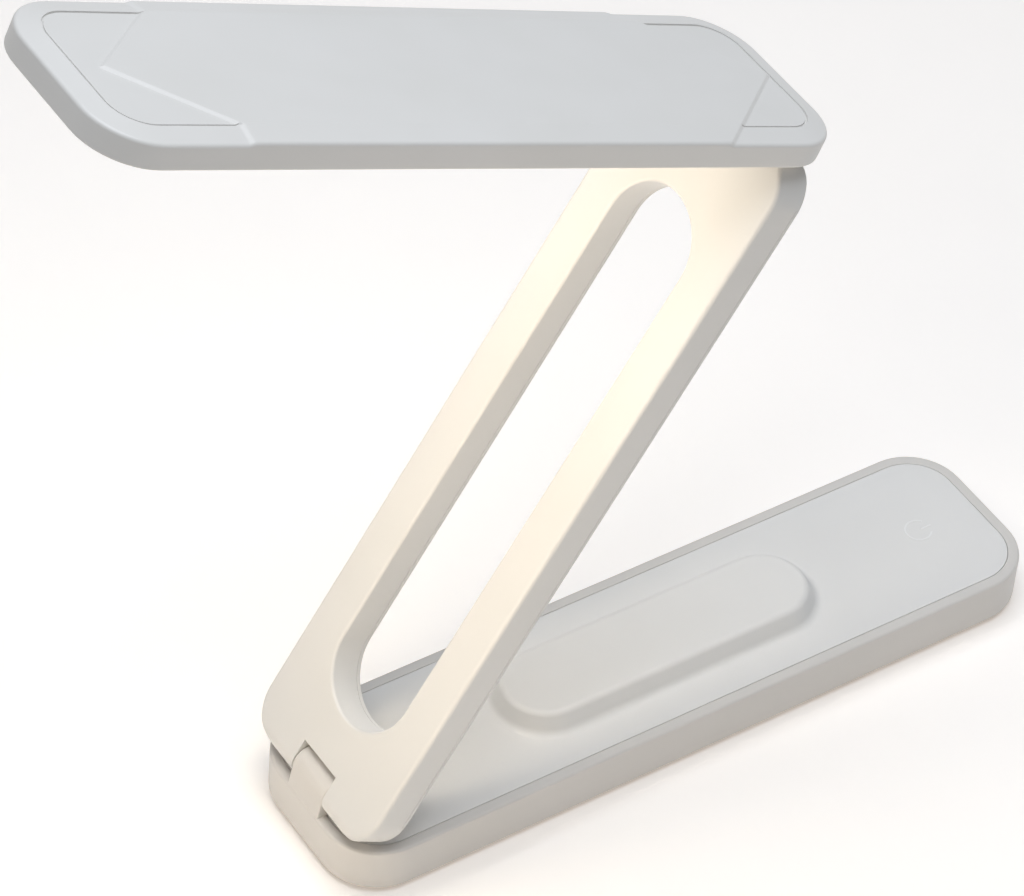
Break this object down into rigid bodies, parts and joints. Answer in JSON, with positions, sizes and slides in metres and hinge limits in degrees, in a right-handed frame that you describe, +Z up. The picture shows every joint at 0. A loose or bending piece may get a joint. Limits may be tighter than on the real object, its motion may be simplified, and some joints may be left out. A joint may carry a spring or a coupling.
{
  "type": "folding desk lamp",
  "caption": "Portable folding desk lamp: a flat base with a battery hump, a slotted arm and a long flat light head, joined end to end in a Z by friction hinges.",
  "frame": {"origin": "centre of the anti-slip pad's lower face, on which the lamp stands", "axes": "+X along the base away from the lower hinge, +Y across the base, +Z up"},
  "size_m": [0.3216, 0.06, 0.3191],
  "materials": {
    "shell_white": "satin, finely textured moulded plastic",
    "deck_white": "satin, finely textured moulded plastic",
    "silicone_grey": "matt silicone rubber",
    "screw_steel": "zinc-plated",
    "cell_sleeve": "shrink sleeve",
    "black_plastic": "matt",
    "nickel": "nickel-plated",
    "ballast_steel": "plain rolled steel",
    "board_green": "solder mask on glass-fibre board",
    "component_black": "moulded packages",
    "clear_plastic": "clear polycarbonate",
    "foam": "conductive foam",
    "lead_white": "soft insulation",
    "hinge_steel": "ground",
    "acetal": "self-lubricating",
    "opal_plastic": "opal polycarbonate, satin",
    "reflector_white": "white foil",
    "board_aluminium": "white solder mask on aluminium",
    "led_phosphor": "phosphor dome"
  },
  "bodies": {
    "base": {"base_tray": "shell_white", "base_deck": "deck_white", "anti_slip_pad": "silicone_grey", "base_screws": "screw_steel", "battery_cell": "cell_sleeve", "battery_cradle": "black_plastic", "battery_tabs": "nickel", "ballast_plate": "ballast_steel", "control_board": "board_green", "board_components": "component_black", "board_screws": "screw_steel", "usb_port": "nickel", "usb_tongue": "black_plastic", "charge_light_pipe": "clear_plastic", "touch_foam_post": "foam", "base_lead": "lead_white", "lower_hinge_pin": "hinge_steel"},
    "arm": {"lower_bushes": "acetal", "lower_washers": "hinge_steel", "lower_key_pins": "hinge_steel", "arm_shell": "shell_white", "arm_back_cover": "shell_white", "arm_screws": "screw_steel", "arm_lead": "lead_white", "upper_bushes": "acetal", "upper_washers": "hinge_steel", "upper_key_pins": "hinge_steel"},
    "head": {"upper_hinge_pin": "hinge_steel", "head_cover": "shell_white", "head_bezel": "shell_white", "diffuser": "opal_plastic", "reflector_sheet": "reflector_white", "led_board": "board_aluminium", "leds": "led_phosphor", "head_screws": "screw_steel", "head_lead": "lead_white"}
  },
  "joints": [
    {"name": "lower_hinge", "type": "hinge", "parent": "base", "child": "arm", "pos_m": [-0.1132, 0, 0.0229], "axis": [0, -1, 0], "range_deg": [-58.3, 41.7]},
    {"name": "upper_hinge", "type": "hinge", "parent": "arm", "child": "head", "pos_m": [0.0065, 0, 0.21671], "axis": [0, 1, 0], "range_deg": [-81.3, 8.7]}
  ]
}
